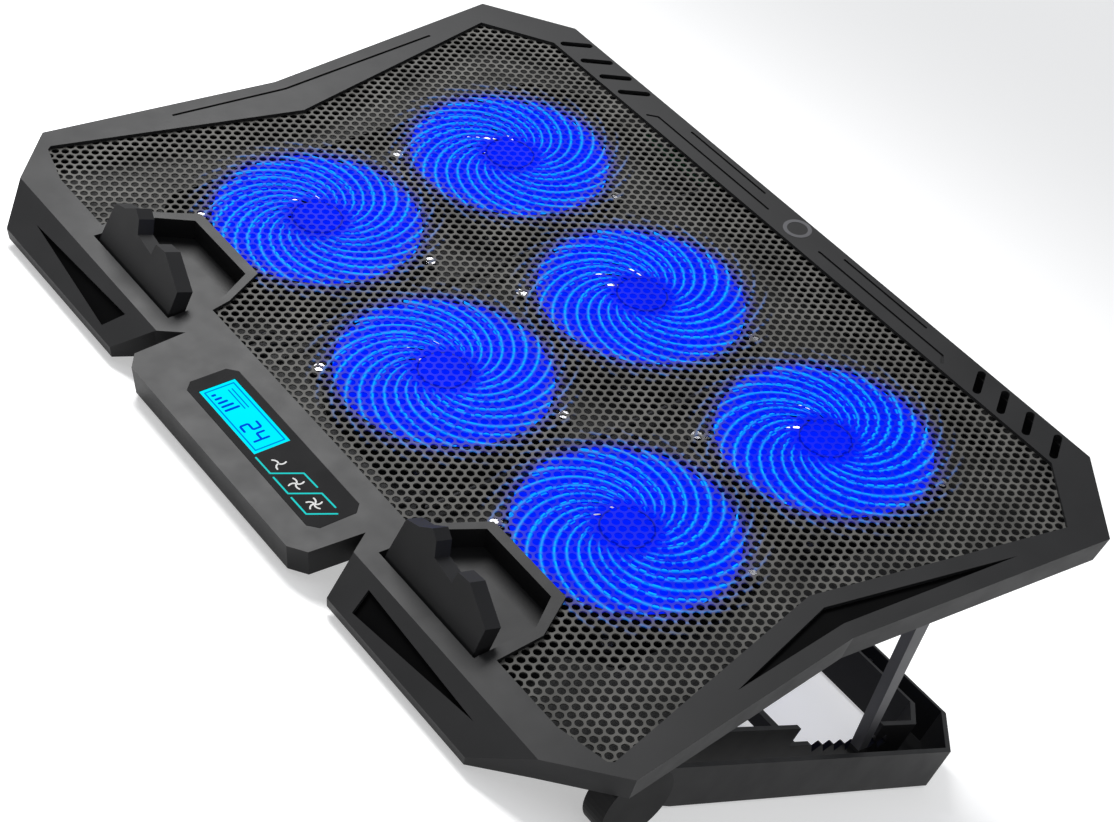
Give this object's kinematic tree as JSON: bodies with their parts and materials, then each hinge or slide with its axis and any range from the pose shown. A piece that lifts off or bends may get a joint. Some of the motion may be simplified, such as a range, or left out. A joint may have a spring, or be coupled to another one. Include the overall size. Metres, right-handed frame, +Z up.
{
  "type": "laptop cooling pad",
  "caption": "Tilting laptop cooling pad: perforated deck with lit fans, a display tongue, folding laptop stops and a notched folding stand.",
  "frame": {"origin": "on the ground, below the middle of the whole pad's box", "axes": "+X along the deck's width to the right of its user, +Y to the back, +Z up"},
  "size_m": [0.41, 0.3156, 0.1597],
  "materials": {
    "bezel": "fine moulded texture",
    "cover": "moulded matte",
    "mesh": "perforated, satin black paint",
    "gloss_black": "gloss",
    "lcd": "backlit cyan",
    "rubber": "matte",
    "steel": "turned",
    "brass": "sintered bush",
    "circuit": "solder mask",
    "wire": "smooth jacket",
    "fan_black": "moulded",
    "fan_blue": "translucent, lit blue",
    "led": "clear lens",
    "trim": "satin"
  },
  "bodies": {
    "stand": {"stand_frame": "bezel", "stand_brace": "bezel", "stand_pads": "rubber"},
    "deck": {"top_bezel": "bezel", "mesh_panel": "mesh", "bottom_cover": "cover", "cover_screws": "steel", "display_plate": "gloss_black", "lcd_module": "lcd", "touch_board": "circuit", "control_board": "circuit", "usb_board": "circuit", "usb_sockets": "steel", "fan_wires": "wire", "usb_wires": "wire", "side_inlay": "gloss_black", "facet_inlays": "gloss_black", "back_badge": "trim", "stop_pins": "steel", "hinge_brackets": "cover", "hinge_pins": "steel", "front_feet": "rubber", "prop_brackets": "cover", "fan_screws": "steel", "fan_leds": "led", "fan_frame_1": "fan_black", "fan_frame_2": "fan_black", "fan_frame_3": "fan_black", "fan_frame_4": "fan_black", "fan_frame_5": "fan_black", "fan_frame_6": "fan_black", "fan_bearing_1": "brass", "fan_bearing_2": "brass", "fan_bearing_3": "brass", "fan_bearing_4": "brass", "fan_bearing_5": "brass", "fan_bearing_6": "brass"},
    "prop": {"prop_legs": "trim", "prop_rod": "steel", "prop_tips": "rubber"},
    "stop_l": {"stop_left": "rubber"},
    "stop_r": {"stop_right": "rubber"},
    "fan_1": {"fan_rotor_1": "fan_blue", "fan_shaft_1": "steel"},
    "fan_2": {"fan_rotor_2": "fan_blue", "fan_shaft_2": "steel"},
    "fan_3": {"fan_rotor_3": "fan_blue", "fan_shaft_3": "steel"},
    "fan_4": {"fan_rotor_4": "fan_blue", "fan_shaft_4": "steel"},
    "fan_5": {"fan_rotor_5": "fan_blue", "fan_shaft_5": "steel"},
    "fan_6": {"fan_rotor_6": "fan_blue", "fan_shaft_6": "steel"}
  },
  "joints": [
    {"name": "deck_tilt", "type": "hinge", "parent": "stand", "child": "deck", "pos_m": [0, -0.10016, 0.0157], "axis": [1, 0, 0], "range_deg": [-29.2, 0]},
    {"name": "prop_fold", "type": "hinge", "parent": "deck", "child": "prop", "pos_m": [0, 0.05134, 0.09923], "axis": [1, 0, 0], "range_deg": [-80, 0]},
    {"name": "stop_left_fold", "type": "hinge", "parent": "deck", "child": "stop_l", "pos_m": [-0.1025, -0.12867, 0.02326], "axis": [1, 0, 0], "range_deg": [-70, 0]},
    {"name": "stop_right_fold", "type": "hinge", "parent": "deck", "child": "stop_r", "pos_m": [0.1025, -0.12867, 0.02326], "axis": [1, 0, 0], "range_deg": [-70, 0]},
    {"name": "fan_spin_1", "type": "hinge", "parent": "deck", "child": "fan_1", "pos_m": [-0.1048, -0.04985, 0.05871], "axis": [0, -0.4879, 0.8729], "continuous": true},
    {"name": "fan_spin_2", "type": "hinge", "parent": "deck", "child": "fan_2", "pos_m": [0, -0.05771, 0.05432], "axis": [0, -0.4879, 0.8729], "continuous": true},
    {"name": "fan_spin_3", "type": "hinge", "parent": "deck", "child": "fan_3", "pos_m": [0.1048, -0.04985, 0.05871], "axis": [0, -0.4879, 0.8729], "continuous": true},
    {"name": "fan_spin_4", "type": "hinge", "parent": "deck", "child": "fan_4", "pos_m": [-0.1048, 0.03788, 0.10774], "axis": [0, -0.4879, 0.8729], "continuous": true},
    {"name": "fan_spin_5", "type": "hinge", "parent": "deck", "child": "fan_5", "pos_m": [0, 0.03002, 0.10335], "axis": [0, -0.4879, 0.8729], "continuous": true},
    {"name": "fan_spin_6", "type": "hinge", "parent": "deck", "child": "fan_6", "pos_m": [0.1048, 0.03788, 0.10774], "axis": [0, -0.4879, 0.8729], "continuous": true}
  ],
  "couplings": [
    {"joint": "prop_fold", "follows": "deck_tilt", "ratio": 2.733}
  ]
}
